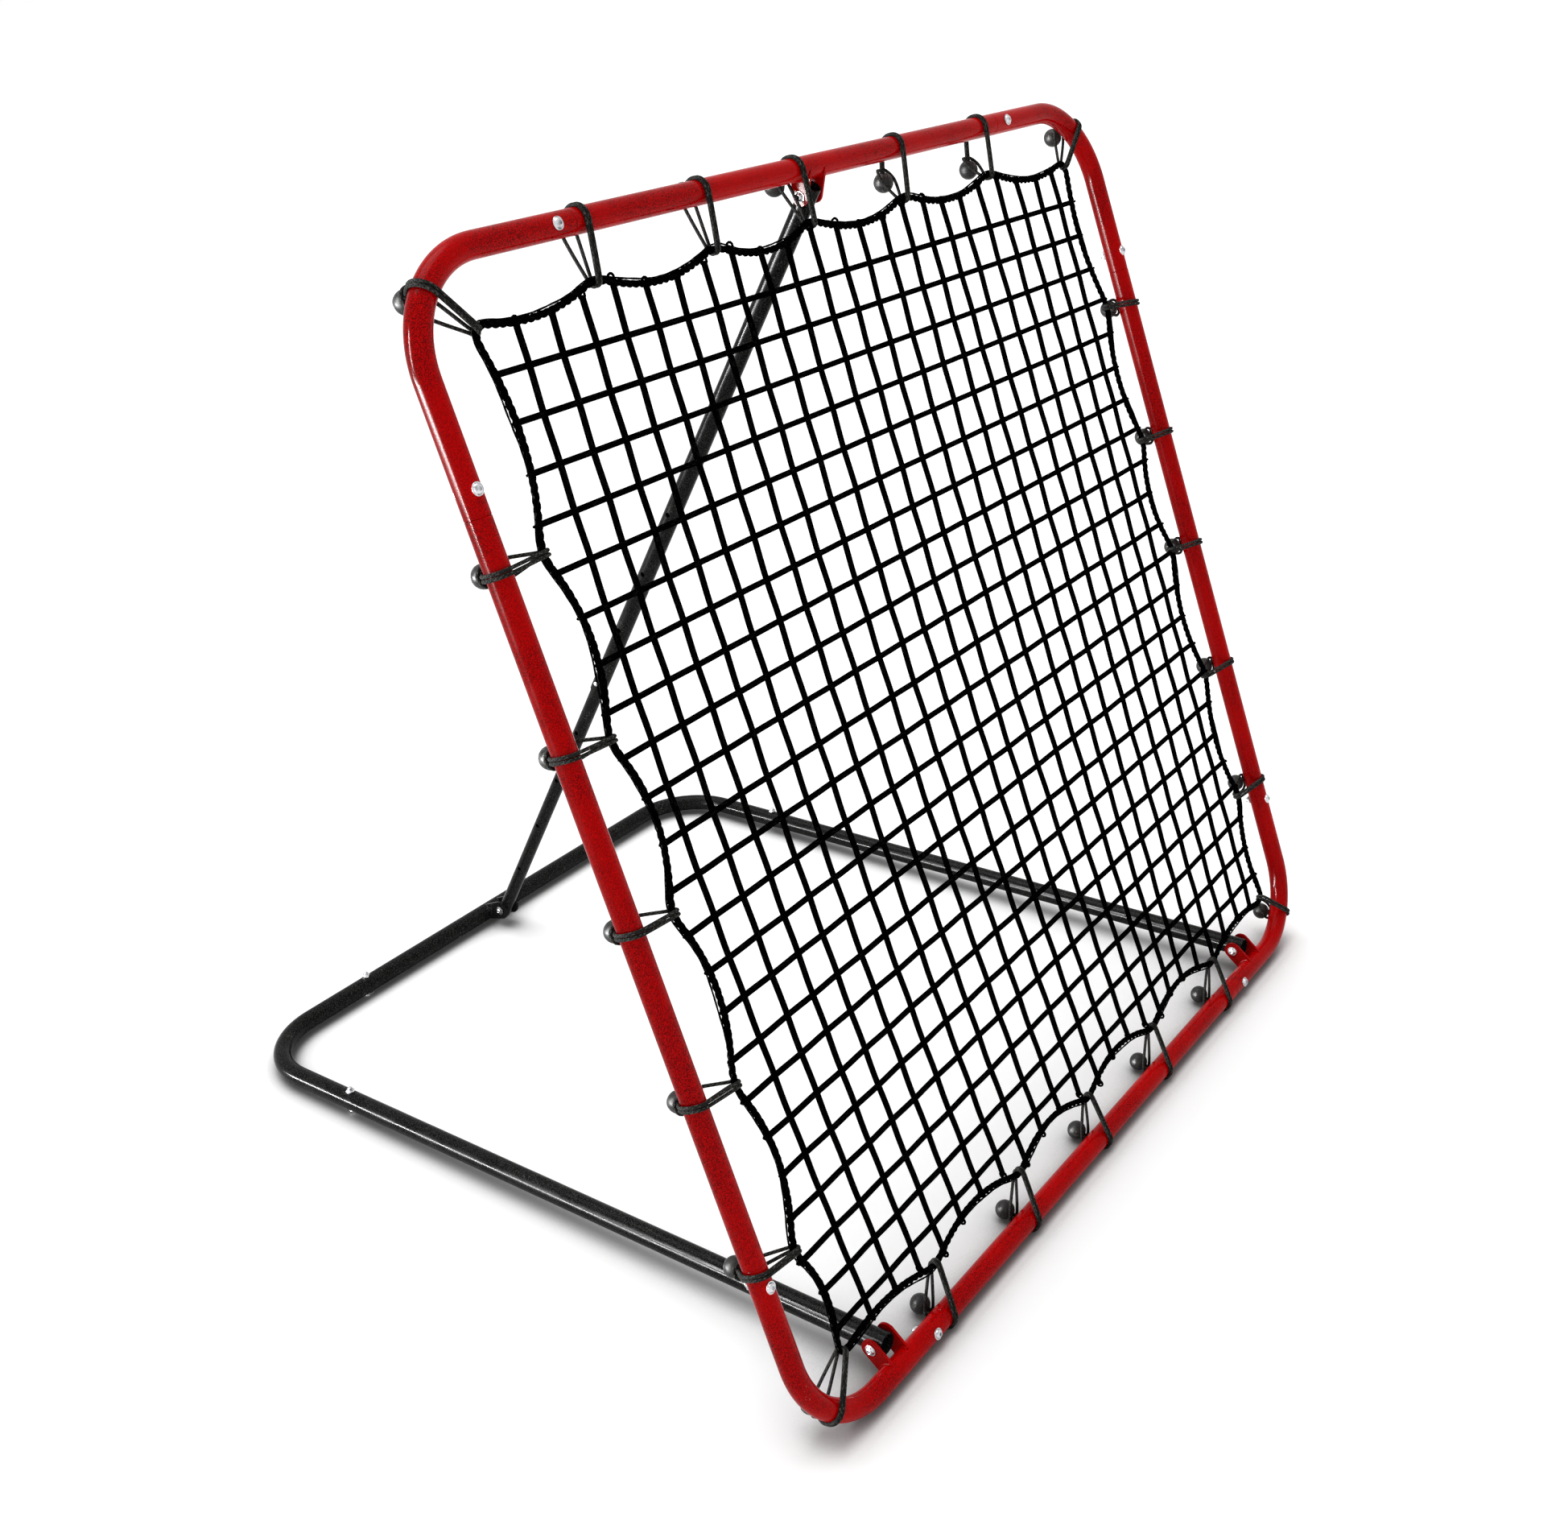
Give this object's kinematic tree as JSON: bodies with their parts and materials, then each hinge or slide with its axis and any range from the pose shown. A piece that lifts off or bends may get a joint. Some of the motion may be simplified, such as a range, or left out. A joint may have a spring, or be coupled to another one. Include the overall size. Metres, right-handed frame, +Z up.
{
  "type": "pitch back rebounder",
  "caption": "Square tubular rebounder frame with a bungee-tied string net, leaning on a folding base and a telescopic rear strut.",
  "frame": {"origin": "on the floor, under the middle of the whole rebounder's box", "axes": "+X to the right seen from the pitcher's side, along the frame's bottom tube; +Y from the net towards the rear tube of the base; +Z up"},
  "size_m": [1.2284, 1.0959, 1.1664],
  "materials": {
    "red_paint": "gloss",
    "black_powder_coat": "satin",
    "zinc_plate": "bright",
    "black_oxide": "satin",
    "spring_steel": "satin",
    "net_cord": "matte",
    "bungee_cord": "matte",
    "ball_rubber": "matte"
  },
  "bodies": {
    "base": {"base_side_left": "black_powder_coat", "base_side_right": "black_powder_coat", "base_corner_left": "black_powder_coat", "base_corner_right": "black_powder_coat", "base_rear_tube": "black_powder_coat", "base_bolts": "zinc_plate", "base_nuts": "zinc_plate"},
    "net_frame": {"frame_corner_top_left": "red_paint", "frame_corner_top_right": "red_paint", "frame_corner_bottom_left": "red_paint", "frame_corner_bottom_right": "red_paint", "frame_rail_top": "red_paint", "frame_rail_bottom": "red_paint", "frame_rail_left": "red_paint", "frame_rail_right": "red_paint", "frame_bolts": "zinc_plate", "frame_nuts": "zinc_plate", "hinge_bolts": "zinc_plate", "hinge_nuts": "zinc_plate", "strut_top_bolt": "zinc_plate", "strut_top_nut": "zinc_plate", "net": "net_cord", "net_border_rope": "net_cord", "bungee_cords_top": "bungee_cord", "bungee_cords_bottom": "bungee_cord", "bungee_cords_left": "bungee_cord", "bungee_cords_right": "bungee_cord", "bungee_cords_corners": "bungee_cord", "bungee_balls_top": "ball_rubber", "bungee_balls_bottom": "ball_rubber", "bungee_balls_left": "ball_rubber", "bungee_balls_right": "ball_rubber", "bungee_balls_corners": "ball_rubber"},
    "strut_outer": {"strut_outer_tube": "black_powder_coat"},
    "strut_inner": {"strut_inner_tube": "black_powder_coat", "strut_bottom_bolt": "black_oxide", "strut_bottom_nut": "black_oxide", "button_spring": "spring_steel"},
    "snap_button": {"snap_button": "zinc_plate"}
  },
  "joints": [
    {"name": "lean_back", "type": "hinge", "parent": "base", "child": "net_frame", "pos_m": [0, -0.50665, 0.03722], "axis": [-1, 0, 0], "range_deg": [0, 25.49]},
    {"name": "strut_pivot", "type": "hinge", "parent": "net_frame", "child": "strut_outer", "pos_m": [0, -0.14966, 1.12006], "axis": [1, 0, 0], "range_deg": [0, 9.76]},
    {"name": "strut_slide", "type": "slide", "parent": "strut_outer", "child": "strut_inner", "axis": [0, -0.5126, 0.8586], "range_m": [0, 0.4064], "deforming": ["snap_button"]},
    {"name": "button_press", "type": "slide", "parent": "strut_inner", "child": "snap_button", "axis": [1, 0, 0], "range_m": [0, 0.0049], "stiffness_N_per_m": 800, "springref_m": -0.004, "deforming": ["button_spring"]}
  ],
  "couplings": [
    {"joint": "strut_pivot", "follows": "lean_back", "ratio": 0.38243},
    {"joint": "strut_slide", "follows": "lean_back", "m_per_rad": 0.9132}
  ]
}
